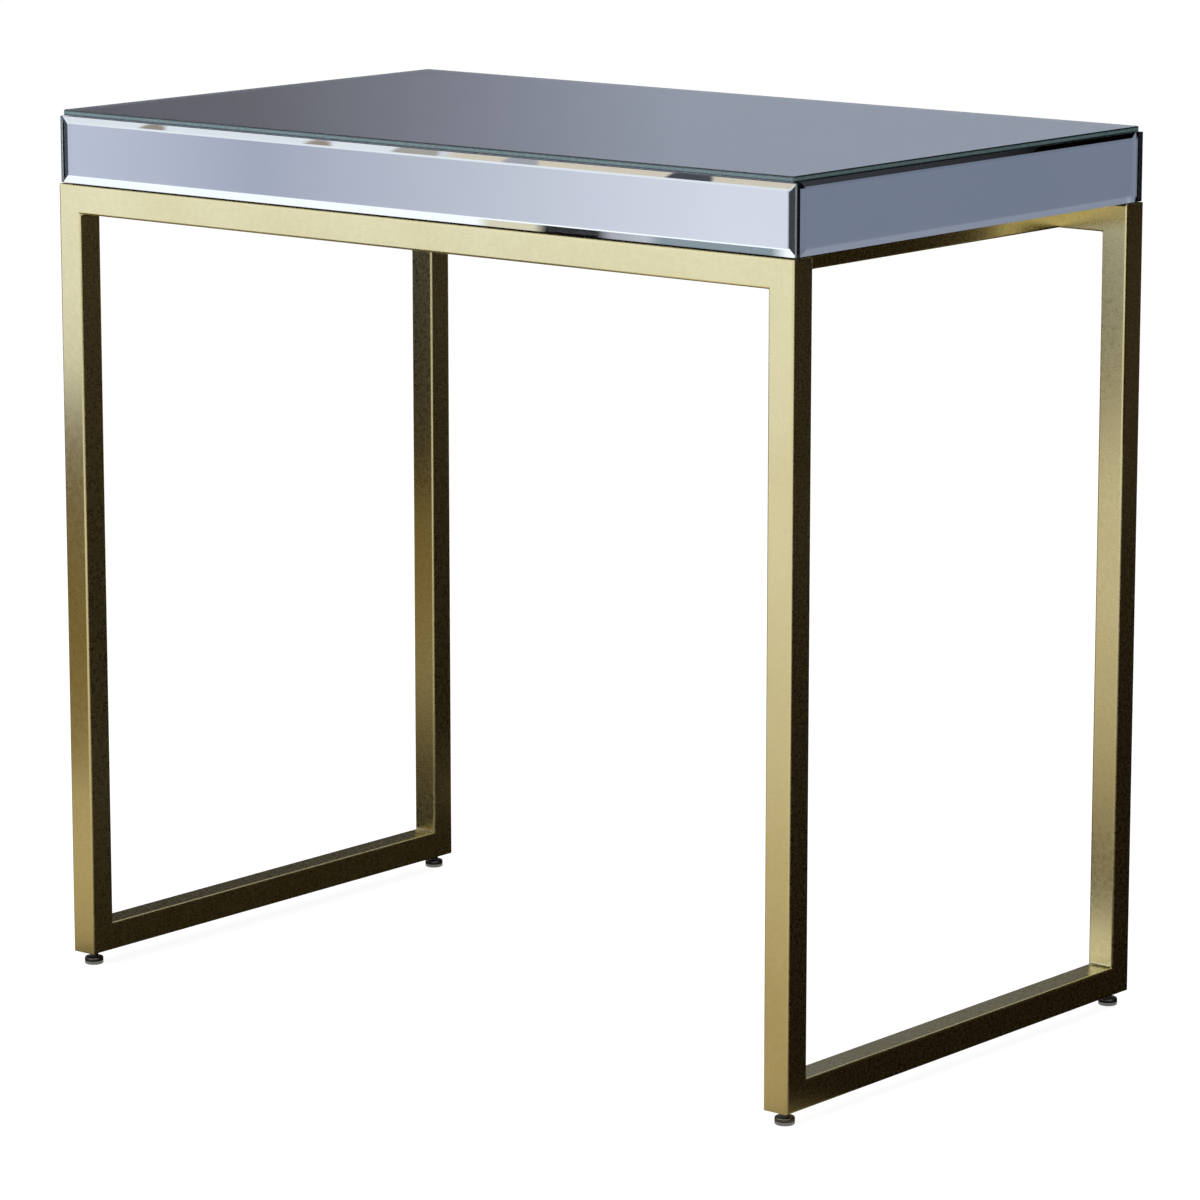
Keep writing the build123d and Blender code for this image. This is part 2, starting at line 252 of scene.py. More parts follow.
def champagne_gold(axis):
    """Satin champagne lacquer over tube.

    It is cloudy, with a fine orange peel, a few dark specks and faint lines drawn along one axis.
    """
    drawn = [1.0, 1.0, 1.0]
    drawn[axis] = 0.03

    def colour(tree):
        drift = spread(tree, noise(tree, scale=9), 0.0, 1.0)
        cloud = rising(tree, noise(tree, scale=160, detail=4), start=0.35, full=0.7, share=0.07)
        lines = noise(tree, scale=900, stretch=drawn, detail=2)
        lines = rising(tree, lines, start=0.4, full=0.65, share=0.05)
        speck = remap(tree, cells(tree, scale=40), low=0.018, high=0.03, to_low=0.5, to_high=0.0)
        base = blend(tree, drift, (0.70, 0.615, 0.33), (0.75, 0.67, 0.385))
        base = blend(tree, cloud, base, (0.52, 0.43, 0.20))
        base = blend(tree, lines, base, (0.45, 0.37, 0.18))
        return blend(tree, speck, base, (0.16, 0.09, 0.03))

    def roughness(tree):
        return spread(tree, noise(tree, scale=220), 0.25, 0.31)

    def peel(tree):
        return noise(tree, scale=1400, detail=2)

    name = f"champagne_gold_{AXIS_NAMES[axis]}"
    values = {"Metallic": 1.0, "Coat Weight": 0.2, "Coat Roughness": 0.22}
    return shaded(name, values, colour, roughness, peel, strength=0.006, distance=0.03 * MM)


def clear_glass(axis, edge_dark, edge_light):
    """Float glass whose faces look along one axis and whose edges are ground, with dark seams."""
    made, tree = empty_material(f"mirror_glass_{AXIS_NAMES[axis]}")
    normal = add(tree, "ShaderNodeNewGeometry").outputs["True Normal"]
    facing = combine(tree, "ABSOLUTE", part_of(tree, normal, axis))
    edge = combine(tree, "LESS_THAN", facing, GLASS_EDGE_LIMIT)
    from_middle = combine(tree, "ABSOLUTE", combine(tree, "SUBTRACT", generated(tree, axis), 0.5))
    seam = rising(tree, from_middle, start=0.16, full=0.34)
    face_tint = blend(tree, noise(tree, scale=4), (0.965, 0.99, 0.98), (0.98, 0.995, 0.99))
    # Edge tints differ per piece as painted light and shade, not as a difference in the glass.
    edge_tint = blend(tree, noise(tree, scale=90), edge_dark, edge_light)
    edge_tint = blend(tree, seam, edge_tint, (0.012, 0.03, 0.03))
    haze = rising(tree, noise(tree, scale=30), start=0.55, full=0.8, share=0.008)
    grind = spread(tree, noise(tree, scale=800), 0.18, 0.34)
    shader = add(tree, "ShaderNodeBsdfPrincipled", {
        "Base Color": blend(tree, edge, face_tint, edge_tint),
        "Roughness": mix_values(tree, edge, haze, grind),
        "IOR": GLASS_IOR,
        "Transmission Weight": remap(tree, edge, 0.0, 1.0, to_low=1.0, to_high=GLASS_EDGE_CLEARNESS),
    })
    depth = add(tree, "ShaderNodeVolumeAbsorption", {"Color": rgba(GLASS_TINT), "Density": GLASS_DENSITY})
    add(tree, "ShaderNodeOutputMaterial", {"Surface": shader.outputs[0], "Volume": depth.outputs[0]})
    return made


def silver():
    """The mirror coat: cool, clean and very slightly uneven."""
    def colour(tree):
        drift = spread(tree, noise(tree, scale=5), 0.0, 1.0)
        return blend(tree, drift, (0.80, 0.83, 0.89), (0.84, 0.865, 0.92))

    def roughness(tree):
        return rising(tree, noise(tree, scale=18), start=0.4, full=0.75, share=0.02)

    def wave(tree):
        return noise(tree, scale=7, detail=1)

    values = {"Metallic": 1.0}
    return shaded("mirror_silver", values, colour, roughness, wave, strength=0.02, distance=1 * MM)


def film_paint(name, dark, light, specular):
    """Slightly cloudy paint on a mirror's back, or a painted dark reflection; specular is its own gloss, and
    none against the glass.
    """
    def colour(tree):
        return blend(tree, noise(tree, scale=60), dark, light)

    def roughness(tree):
        return spread(tree, noise(tree, scale=200), 0.5, 0.7)

    def grain(tree):
        return noise(tree, scale=900)

    values = {"Specular IOR Level": specular}
    return shaded(name, values, colour, roughness, grain, strength=0.2, distance=0.1 * MM)


def board(name, dark, light, rough):
    """Painted or foiled board: a fine fibre texture, dust in it and a soft sheen."""
    def fibre(tree):
        return noise(tree, scale=700, stretch=(1, 0.25, 1), detail=5)

    def colour(tree):
        drift = spread(tree, noise(tree, scale=14), 0.0, 1.0)
        dust = rising(tree, noise(tree, scale=420), start=0.62, full=0.8, share=0.25)
        return blend(tree, dust, blend(tree, drift, dark, light), (0.2, 0.2, 0.2))

    def roughness(tree):
        return spread(tree, fibre(tree), rough - 0.07, rough + 0.07)

    return shaded(name, {}, colour, roughness, fibre, strength=0.18, distance=0.06 * MM)


def plated(name, dark, light, rough):
    """Plated or bare steel with a faint spangle and drawn lines."""
    def colour(tree):
        spangle = cells(tree, scale=160, output="Color")
        tone = add(tree, "ShaderNodeSeparateColor", {0: spangle}).outputs[0]
        return blend(tree, tone, dark, light)

    def scuff(tree):
        return noise(tree, scale=600, stretch=(1, 0.05, 1))

    def roughness(tree):
        return spread(tree, scuff(tree), rough - 0.06, rough + 0.08)

    return shaded(name, {"Metallic": 1.0}, colour, roughness, scuff, strength=0.08, distance=0.03 * MM)


def worn_metal(name, dark, light, rough):
    """Dark turned metal that is rubbed bright along its edges."""
    def colour(tree):
        edge = add(tree, "ShaderNodeNewGeometry").outputs["Pointiness"]
        rub = rising(tree, edge, start=0.52, full=0.62)
        patchy = remap(tree, noise(tree, scale=350), low=0.35, high=0.65, to_low=0.2, to_high=1.0)
        return blend(tree, combine(tree, "MULTIPLY", rub, patchy), dark, light)

    def roughness(tree):
        return spread(tree, noise(tree, scale=500), rough - 0.08, rough + 0.08)

    def grain(tree):
        return noise(tree, scale=2500)

    return shaded(name, {"Metallic": 1.0}, colour, roughness, grain, strength=0.1, distance=0.03 * MM)


def moulded(name, dark, light):
    """Moulded plastic with a fine spark-eroded grain."""
    def grain(tree):
        return noise(tree, scale=1800, detail=2)

    def colour(tree):
        return blend(tree, noise(tree, scale=40), dark, light)

    def roughness(tree):
        return spread(tree, grain(tree), 0.38, 0.55)

    return shaded(name, {}, colour, roughness, grain, strength=0.25, distance=0.05 * MM)


GOLD = [champagne_gold(axis) for axis in (X, Y, Z)]
# Edge tints: painted shade on the side mirrors' edges, nearly black; painted light on the drawer mirror's
# edges; the top's edges between.
SIDE_GLASS = clear_glass(X, edge_dark=(0.030, 0.036, 0.040), edge_light=(0.042, 0.050, 0.055))
FRONT_GLASS = clear_glass(Y, edge_dark=(0.42, 0.50, 0.52), edge_light=(0.52, 0.60, 0.62))
TOP_GLASS = clear_glass(Z, edge_dark=(0.14, 0.23, 0.24), edge_light=(0.24, 0.34, 0.35))
SILVER = silver()
BACKING = film_paint("mirror_backing", (0.19, 0.20, 0.21), (0.24, 0.25, 0.26), specular=0.5)
# Painted dark reflection: the front mirror's end bevels mirror something dark, and this dark film stands in
# for it.
DARK_REFLECTION_PAINT = film_paint("mirror_painted_dark_reflection", (0.005, 0.013, 0.019), (0.009, 0.020, 0.027), specular=0.0)
BLACK_BOARD = board("black_board", (0.010, 0.010, 0.011), (0.018, 0.018, 0.019), rough=0.52)
DRAWER_BOARD = board("drawer_board", (0.030, 0.029, 0.030), (0.045, 0.044, 0.045), rough=0.58)
ZINC = plated("zinc_steel", (0.50, 0.52, 0.54), (0.66, 0.68, 0.70), rough=0.30)
CHROME = plated("ball_steel", (0.70, 0.71, 0.72), (0.78, 0.79, 0.80), rough=0.08)
SCREW_STEEL = worn_metal("screw_steel", (0.30, 0.29, 0.27), (0.62, 0.61, 0.58), rough=0.30)
FOOT_METAL = worn_metal("foot_metal", (0.17, 0.165, 0.155), (0.58, 0.56, 0.52), rough=0.30)
LATCH_PLASTIC = moulded("latch_plastic", (0.020, 0.020, 0.021), (0.032, 0.032, 0.033))
PLUNGER_PLASTIC = moulded("plunger_plastic", (0.46, 0.46, 0.45), (0.54, 0.54, 0.53))


def dress_nodes():
    """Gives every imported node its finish, by the first words of its name."""
    finishes = {
        "leg": GOLD[Z],
        "top_rail": GOLD[X],
        "bottom_rail": GOLD[Y],
        "cross_rail": GOLD[Y],
        "corner_welds": GOLD[Y],
        "mirror_top": TOP_GLASS,
        "mirror_side": SIDE_GLASS,
        "drawer_mirror": FRONT_GLASS,
        "carcass": BLACK_BOARD,
        "drawer_front": DRAWER_BOARD,
        "drawer_side": DRAWER_BOARD,
        "drawer_back": DRAWER_BOARD,
        "drawer_bottom": DRAWER_BOARD,
        "latch_strike": ZINC,
        "runner_outer": ZINC,
        "runner_inner": ZINC,
        "ball_cage": ZINC,
        "runner_balls": CHROME,
        "runner_screws": SCREW_STEEL,
        "frame_screws": SCREW_STEEL,
        "foot": FOOT_METAL,
        "latch_housing": LATCH_PLASTIC,
        "latch_plunger": PLUNGER_PLASTIC,
    }
    for name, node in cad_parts.items():
        finish = next(made for start, made in finishes.items() if name.startswith(start))
        node.data.materials.clear()
        node.data.materials.append(finish)


# Mesh helpers

def keep_mesh(name, mesh, materials, body, slot, *replaced):
    """Turns a bmesh into a piece of the table that rides on a body and stands for the replaced nodes."""
    bmesh.ops.recalc_face_normals(mesh, faces=mesh.faces)
    data = bpy.data.meshes.new(name)
    mesh.to_mesh(data)
    mesh.free()
    piece = bpy.data.objects.new(name, data)
    bpy.context.scene.collection.objects.link(piece)
    for material in materials:
        data.materials.append(material)
    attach(piece, body)
    if replaced:
        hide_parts(*replaced)


def join_rings(mesh, rings):
    """Quads between neighbouring closed rings of as many points."""
    for lower, upper in zip(rings, rings[1:]):
        for index in range(len(lower)):
            after = (index + 1) % len(lower)
            mesh.faces.new((lower[index], lower[after], upper[after], upper[index]))


def ring(mesh, radius, height, steps, centre=(0, 0), wobble=None):
    """A closed ring of points; wobble changes the radius by the step's number."""
    points = []
    for step in range(steps):
        angle = 2 * math.pi * step / steps
        reach = radius + (wobble(step) if wobble else 0)
        spot = (centre[0] + reach * math.cos(angle), centre[1] + reach * math.sin(angle), height)
        points.append(mesh.verts.new(spot))
    return points


def arc(centre, radius, start, end, steps):
    """Points of an arc in a profile, as (reach, height)."""
    spots = []
    for step in range(steps + 1):
        angle = math.radians(start + (end - start) * step / steps)
        spots.append((centre[0] + radius * math.cos(angle), centre[1] + radius * math.sin(angle)))
    return spots


# Pieces that only this scene adds

def film(name, low, high, axis, side, front, body, narrow=0):
    """A thin film in a sheet of glass from low to high, near the face that looks towards side along axis.

    The face on that side has the backing, and the rest the front's paint. Where narrow is -1 or 1, the
    film is mitred towards that side along X.
    """
    inset = Vector((FILM_INSET, FILM_INSET, FILM_INSET))
    low, high = low + inset, high - inset
    if side < 0:
        low[axis] += FILM_DEPTH - FILM_INSET
        high[axis] = low[axis] + FILM_THICKNESS
    else:
        high[axis] -= FILM_DEPTH - FILM_INSET
        low[axis] = high[axis] - FILM_THICKNESS
    middle = (low.z + high.z) / 2
    mesh = bmesh.new()
    bmesh.ops.create_cube(mesh, size=1.0)
    for vert in mesh.verts:
        mitred = vert.co.x * narrow > 0
        for other in (X, Y, Z):
            vert.co[other] = high[other] if vert.co[other] > 0 else low[other]
        if mitred:
            vert.co.z += DARK_MITRE if vert.co.z < middle else -DARK_MITRE
    bmesh.ops.recalc_face_normals(mesh, faces=mesh.faces)
    for face in mesh.faces:
        face.material_index = 1 if face.normal[axis] * side > 0.5 else 0
    keep_mesh(name, mesh, (front, BACKING), body, "mirror_glass")


def painted_reflection_end(name, side):
    """A dark mitred strip before the silver, under the bevel at one end of the front mirror: a painted dark
    reflection.
    """
    low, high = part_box("drawer_mirror")
    outer = (high if side > 0 else low).x - side * DARK_RIM
    inner = outer - side * DARK_WIDTH
    low.x, high.x = min(outer, inner), max(outer, inner)
    low.z += DARK_RIM
    high.z -= DARK_RIM
    high.y -= FILM_DEPTH + FILM_THICKNESS
    film(f"painted_reflection_end_{name}", low, high, Y, 1, DARK_REFLECTION_PAINT, "drawer", narrow=-side)


def make_silver():
    film("silver_top", *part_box("mirror_top"), Z, -1, SILVER, "frame")
    film("silver_drawer", *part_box("drawer_mirror"), Y, 1, SILVER, "drawer")
    for name, side in SIDES.items():
        painted_reflection_end(name, side)
        film(f"silver_side_{name}", *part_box(f"mirror_side_{name}"), X, -side, SILVER, "frame")


def thread_radius(radius, turn):
    """Reach of a thread at a place along its pitch: crest and root are flat, the flanks slope."""
    from_crest = abs(2 * (turn % 1) - 1)
    fall = min(max((from_crest - THREAD_CREST) / THREAD_FLANK, 0), 1)
    return radius - THREAD_DEPTH * fall


def threaded_stem(name):
    """A foot's threaded stem with two spanner flats just above its pad."""
    node = f"foot_stem_{name}"
    low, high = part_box(node)
    pad_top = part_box(f"foot_pad_{name}")[1].z
    centre = (low + high) / 2
    radius = (high.x - low.x) / 2
    flat = radius - FLAT_DEPTH
    rows = round((high.z - low.z) / THREAD_PITCH * THREAD_ROWS)
    mesh = bmesh.new()
    rings = []
    for row in range(rows + 1):
        height = low.z + (high.z - low.z) * row / rows
        from_end = min(height - low.z, high.z - height)
        limit = radius - THREAD_DEPTH + from_end
        on_flats = pad_top <= height <= pad_top + FLAT_HEIGHT
        points = []
        for step in range(THREAD_STEPS):
            share = step / THREAD_STEPS
            angle = 2 * math.pi * share
            reach = min(limit, thread_radius(radius, height / THREAD_PITCH - share))
            across = reach * math.sin(angle)
            if on_flats:
                across = min(max(across, -flat), flat)
            points.append(mesh.verts.new((centre.x + reach * math.cos(angle), centre.y + across, height)))
        rings.append(points)
    join_rings(mesh, rings)
    mesh.faces.new(rings[0])
    mesh.faces.new(rings[-1])
    keep_mesh(f"stem_thread_{name}", mesh, (FOOT_METAL,), f"stem_{name}", "foot_metal", node)


def knurled_pad(name):
    """A turned foot with rounded edges, a knurled rim and the socket that its stem stands in."""
    node = f"foot_pad_{name}"
    low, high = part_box(node)
    stem_low, stem_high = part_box(f"foot_stem_{name}")
    centre = (low + high) / 2
    radius = (high.x - low.x) / 2
    bore = (stem_high.x - stem_low.x) / 2 + SOCKET_CLEARANCE
    steps = KNURL_TEETH * PAD_STEPS_PER_TOOTH

    def tooth(step):
        return -KNURL_DEPTH if step % PAD_STEPS_PER_TOOTH < PAD_STEPS_PER_TOOTH / 2 else 0

    round_low, round_high = low.z + PAD_ROUND, high.z - PAD_ROUND
    lower = arc((radius - PAD_ROUND, round_low), PAD_ROUND, -90, 0, PAD_ROUND_STEPS)
    upper = arc((radius - PAD_ROUND, round_high), PAD_ROUND, 0, 90, PAD_ROUND_STEPS)
    socket = [(bore + SOCKET_CHAMFER, high.z), (bore, high.z - SOCKET_CHAMFER), (bore, stem_low.z)]
    rim = (round_low + KNURL_MARGIN, round_high - KNURL_MARGIN)
    profile = [(spot, None) for spot in lower]
    profile += [((radius, height), tooth) for height in rim]
    profile += [(spot, None) for spot in upper + socket]
    mesh = bmesh.new()
    rings = [ring(mesh, reach, height, steps, centre, wobble) for (reach, height), wobble in profile]
    join_rings(mesh, rings)
    mesh.faces.new(rings[0])
    mesh.faces.new(rings[-1])
    keep_mesh(f"pad_knurl_{name}", mesh, (FOOT_METAL,), f"pad_{name}", "foot_metal", node)


def add_screw(mesh, place, facing, height):
    """A rounded head with a cross recess, seated at a place and facing along a direction."""
    start = len(mesh.verts)
    edge = min(ROUND_OF_HEIGHT * height, ROUND_OF_RADIUS * SCREW_RADIUS)
    profile = [(SCREW_RADIUS, 0.0)]
    profile += arc((SCREW_RADIUS - edge, height - edge), edge, 0, 90, SCREW_ROUND_STEPS)
    rings = [ring(mesh, reach, level, SCREW_STEPS) for reach, level in profile]
    join_rings(mesh, rings)
    mesh.faces.new(rings[0])
    arm, half = CROSS_ARM * SCREW_RADIUS, CROSS_HALF_WIDTH * SCREW_RADIUS
    corners = []
    for quarter in range(4):
        turn = Matrix.Rotation(quarter * math.pi / 2, 3, "Z")
        for spot in ((arm, -half, 0), (arm, half, 0), (half, half, 0)):
            corners.append(turn @ Vector(spot))
    bottom = height - CROSS_DEPTH * height
    mouth = [mesh.verts.new((spot.x, spot.y, height)) for spot in corners]
    floor = [mesh.verts.new((CROSS_TAPER * spot.x, CROSS_TAPER * spot.y, bottom)) for spot in corners]
    join_rings(mesh, [mouth, floor])
    mesh.faces.new(floor)
    rim = []
    for loop in (rings[-1], mouth):
        for index, vert in enumerate(loop):
            rim.append(mesh.edges.get((vert, loop[(index + 1) % len(loop)])))
    bmesh.ops.triangle_fill(mesh, edges=rim, use_beauty=True)
    mesh.verts.ensure_lookup_table()
    aim = Vector((0, 0, 1)).rotation_difference(Vector(facing)).to_matrix().to_4x4()
    fresh = [mesh.verts[index] for index in range(start, len(mesh.verts))]
    bmesh.ops.transform(mesh, matrix=Matrix.Translation(place) @ aim, verts=fresh)


def screws(name, spots, facing, height, body):
    mesh = bmesh.new()
    for spot in spots:
        add_screw(mesh, Vector(spot), facing, height)
    keep_mesh(name, mesh, (SCREW_STEEL,), body, "screw_steel")


def make_screws():
    """Back board screws and the screws that hold the inner runners to the drawer."""
    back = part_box("carcass_back")[1].y
    base_low, base_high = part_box("carcass_base")
    top_low, top_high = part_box("carcass_top")
    half = (BACK_SCREW_COLUMNS - 1) / 2
    columns = [(column - half) * BACK_SCREW_PITCH for column in range(BACK_SCREW_COLUMNS)]
    rows = ((base_low.z + base_high.z) / 2, (top_low.z + top_high.z) / 2)
    spots = [(x, back, z) for x in columns for z in rows]
    screws("back_board_screws", spots, (0, 1, 0), LOW_HEIGHT, "frame")
    for name, side in SIDES.items():
        low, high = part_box(f"runner_inner_{name}")
        drawer_low, drawer_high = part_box(f"drawer_side_{name}")
        web = (drawer_high if side > 0 else drawer_low).x + side * RUNNER_WEB
        middle = (low.z + high.z) / 2
        spots = [(web, y, middle) for y in (low.y + RUNNER_SCREW_INSET, high.y - RUNNER_SCREW_INSET)]
        screws(f"runner_side_screws_{name}", spots, (side, 0, 0), PAN_HEIGHT, "drawer")


# Studio: floor, reflected cards, lamps and camera

def sees_studio(tree):
    """1 for rays from the camera, off metal and through glass; 0 for rays that gather light."""
    path = add(tree, "ShaderNodeLightPath")
    seen = combine(tree, "MAXIMUM", path.outputs["Is Camera Ray"], path.outputs["Is Glossy Ray"])
    return combine(tree, "MAXIMUM", seen, path.outputs["Is Transmission Ray"])


def make_world():
    world = bpy.data.worlds.new("studio")
    bpy.context.scene.world = world
    world.use_nodes = True
    tree = world.node_tree
    tree.nodes.clear()
    soft = add(tree, "ShaderNodeBackground", {"Color": rgba(AMBIENT_TINT), "Strength": AMBIENT_STRENGTH})
    white = add(tree, "ShaderNodeBackground", {"Color": rgba(WHITE), "Strength": 1.0})
    mix = add(tree, "ShaderNodeMixShader", {0: sees_studio(tree), 1: soft.outputs[0], 2: white.outputs[0]})
    add(tree, "ShaderNodeOutputWorld", {"Surface": mix.outputs[0]})


def stage_mesh(name, corners, material):
    """A flat stage panel through its corners."""
    data = bpy.data.meshes.new(name)
    data.from_pydata(corners, [], [list(range(len(corners)))])
    data.materials.append(material)
    material.cycles.emission_sampling = "NONE"
    panel = bpy.data.objects.new(name, data)
    bpy.context.scene.collection.objects.link(panel)
    return panel


def reflected_only(panel):
    """Seen in metal and glass, but not by the camera, and throws no light or shadow."""
    panel.visible_camera = False
    panel.visible_diffuse = False
    panel.visible_shadow = False
    panel.visible_volume_scatter = False


def square(reach, height):
    return [(x, y, height) for x, y in ((-reach, -reach), (reach, -reach), (reach, reach), (-reach, reach))]


def make_floor():
    """A pale floor that looks white and keeps a soft shadow of the table."""
    made, tree = empty_material("floor")
    paint = blend(tree, noise(tree, scale=3), FLOOR_DARK, FLOOR_LIGHT)
    matt = add(tree, "ShaderNodeBsdfDiffuse", {"Color": paint})
    veil = add(tree, "ShaderNodeBsdfDiffuse", {"Color": rgba(FLOOR_SHADE)})
    glow = add(tree, "ShaderNodeEmission", {"Color": rgba(WHITE), "Strength": FLOOR_GLOW})
    white = add(tree, "ShaderNodeAddShader", {0: veil.outputs[0], 1: glow.outputs[0]})
    mix = add(tree, "ShaderNodeMixShader", {0: sees_studio(tree), 1: matt.outputs[0], 2: white.outputs[0]})
    add(tree, "ShaderNodeOutputMaterial", {"Surface": mix.outputs[0]})
    stage_mesh("floor", square(FLOOR_REACH, 0), made)


def in_mirrors(tree):
    """1 for rays that have passed through glass, as in a mirror; 0 for rays straight off metal."""
    depth = add(tree, "ShaderNodeLightPath").outputs["Transmission Depth"]
    return combine(tree, "GREATER_THAN", depth, 0.5)


def in_metal(tree):
    """1 for rays straight off metal; 0 for rays that have passed through glass."""
    return combine(tree, "SUBTRACT", 1.0, in_mirrors(tree))


def plain(colour):
    """Colour stops of one colour."""
    return [(0.0, colour), (1.0, colour)]


EVEN = plain(WHITE)


def stand(name, material, bearing, distance, width, low, high):
    """A standing panel that only reflections see, square to its bearing from the table."""
    half = width / 2
    panel = stage_mesh(name, [(-half, 0, low), (half, 0, low), (half, 0, high), (-half, 0, high)], material)
    angle = math.radians(bearing)
    panel.location = (distance * math.cos(angle), distance * math.sin(angle), 0)
    panel.rotation_euler = (0, 0, angle - math.pi / 2)
    reflected_only(panel)


def card_colour(tree, across, upward):
    """The product of colour stops across a card and upward on it."""
    first, second = ramp(tree, generated(tree, X), across), ramp(tree, generated(tree, Z), upward)
    return blend(tree, 1.0, first, second, "MULTIPLY")


def soft_edges(tree):
    """1 on most of a card, falling to 0 at its two ends and its top."""
    ends = [(0.0, BLACK), (SOFT_ENDS, WHITE), (1.0 - SOFT_ENDS, WHITE), (1.0, BLACK)]
    top = [(SOFT_TOP, WHITE), (1.0, BLACK)]
    across, upward = ramp(tree, generated(tree, X), ends), ramp(tree, generated(tree, Z), top)
    return combine(tree, "MULTIPLY", across, upward)


def shown(tree, shares, colour, glow=1.0):
    """A glowing surface that is there by the product of the shares, and is clear otherwise."""
    share = shares[0]
    for other in shares[1:]:
        share = combine(tree, "MULTIPLY", share, other)
    light = add(tree, "ShaderNodeEmission", {"Color": colour, "Strength": glow})
    clear = add(tree, "ShaderNodeBsdfTransparent")
    mix = add(tree, "ShaderNodeMixShader", {0: share, 1: clear.outputs[0], 2: light.outputs[0]})
    add(tree, "ShaderNodeOutputMaterial", {"Surface": mix.outputs[0]})


def card(name, share, across, upward, glow, soft, place):
    """A card that is there by a share, at a place given by the names that stand takes."""
    made, tree = empty_material(name)
    shares = [share(tree)] + ([soft_edges(tree)] if soft else [])
    shown(tree, shares, card_colour(tree, across, upward), glow)
    stand(name, made, **place)


def mirror_card(name, across, glow=1.0, soft=False, **place):
    """A card that shows in the mirrors and not in the bare metal."""
    card(name, in_mirrors, across, EVEN, glow, soft, place)


def metal_card(name, colour, upward=EVEN, glow=1.0, soft=False, **place):
    """A card that shows in the bare metal and not in the mirrors."""
    card(name, in_metal, plain(colour), upward, glow, soft, place)


def far_from(tree, place, centre):
    inputs = {0: place, 1: (*centre, 0)}
    return add(tree, "ShaderNodeVectorMath", inputs, operation="DISTANCE").outputs["Value"]


def patched(tree, stops, patches):
    """A floor whose tone changes with the distance from the table, with soft round patches laid on it.

    A patch has its centre, the radius up to which it covers all, the radius where it ends, and its colour.
    """
    place = place_in(tree)
    tone = ramp(tree, combine(tree, "DIVIDE", far_from(tree, place, (0, 0)), TONE_REACH), stops)
    for centre, inner, outer, colour in patches:
        cover = remap(tree, far_from(tree, place, centre), inner, outer, 1.0, 0.0, "SMOOTHSTEP")
        tone = blend(tree, cover, tone, colour)
    return tone


def make_floor_tone():
    """The floor as reflections see it: in the metal, warm and darker towards the table as painted shade,
    with patches of painted shade and one painted highlight; pale in the mirrors, with painted reflections.
    """
    made, tree = empty_material("floor_tone")
    dark = (0.010, 0.006, 0.002)
    warm_floor = [
        (0.05, (0.45, 0.36, 0.21)),
        (0.13, (0.61, 0.53, 0.37)),
        (0.20, (0.73, 0.67, 0.52)),
        (0.30, (0.85, 0.83, 0.77)),
        (0.50, (0.97, 0.97, 0.97)),
        (0.70, WHITE),
    ]
    metal_shade_and_glint_patches = [
        ((1.9, 1.15), 1.95, 2.15, dark),
        ((0.0, 0.70), 0.24, 0.34, dark),
        ((-0.80, 0.12), 0.35, 0.60, (0.03, 0.024, 0.013)),
        ((-0.14, 0.06), 0.36, 0.50, (0.02, 0.015, 0.007)),
        # A small pale patch under the table: a painted highlight.
        ((0.25, 0.08), 0.06, 0.13, (1.0, 0.97, 0.88)),
    ]
    pale_floor = [(0.05, (0.72, 0.73, 0.75)), (0.30, (0.90, 0.90, 0.91)), (0.60, WHITE)]
    tan = (0.36, 0.27, 0.19)
    mirror_reflection_patches = [
        ((1.7, 1.8), 1.1, 2.2, (0.21, 0.235, 0.30)),
        ((0.75, 1.05), 0.20, 0.50, (0.075, 0.075, 0.085)),
        ((-1.34, -1.19), 0.25, 0.27, WHITE),
        ((-0.83, -1.315), 0.22, 0.25, (0.84, 0.71, 0.53)),
        ((-1.443, -1.166), 0.014, 0.024, tan),
        ((-1.224, -1.224), 0.014, 0.024, tan),
        ((-1.100, -1.259), 0.026, 0.036, (0.46, 0.40, 0.33)),
        ((-0.967, -1.294), 0.020, 0.028, (0.42, 0.41, 0.42)),
        ((-0.758, -1.345), 0.026, 0.033, (0.012, 0.012, 0.013)),
    ]
    metal_tone = patched(tree, warm_floor, metal_shade_and_glint_patches)
    mirror_tone = patched(tree, pale_floor, mirror_reflection_patches)
    glow = add(tree, "ShaderNodeEmission", {"Color": blend(tree, in_mirrors(tree), metal_tone, mirror_tone)})
    add(tree, "ShaderNodeOutputMaterial", {"Surface": glow.outputs[0]})
    reflected_only(stage_mesh("floor_tone", square(TONE_REACH, TONE_HEIGHT), made))


def make_back_left():
    """A grey sweep that the table top mirrors; bare metal sees most of it dimmer."""
    made, tree = empty_material("card_back_left")
    sweep = [
        (0.28, (0.145, 0.142, 0.17)),
        (0.36, (0.17, 0.168, 0.195)),
        (0.47, (0.30, 0.315, 0.375)),
        (0.53, (0.37, 0.40, 0.475)),
    ]
    dim = (0.10, 0.085, 0.06)
    bright_band = [(0.26, dim), (0.30, WHITE), (0.40, WHITE), (0.46, dim)]
    metal_tone = card_colour(tree, sweep, bright_band)
    mirror_tone = card_colour(tree, sweep, EVEN)
    shown(tree, [soft_edges(tree)], blend(tree, in_mirrors(tree), metal_tone, mirror_tone))
    stand("card_back_left", made, bearing=TOP_BEARING, distance=2.2, width=3.2, low=0.1, high=2.9)


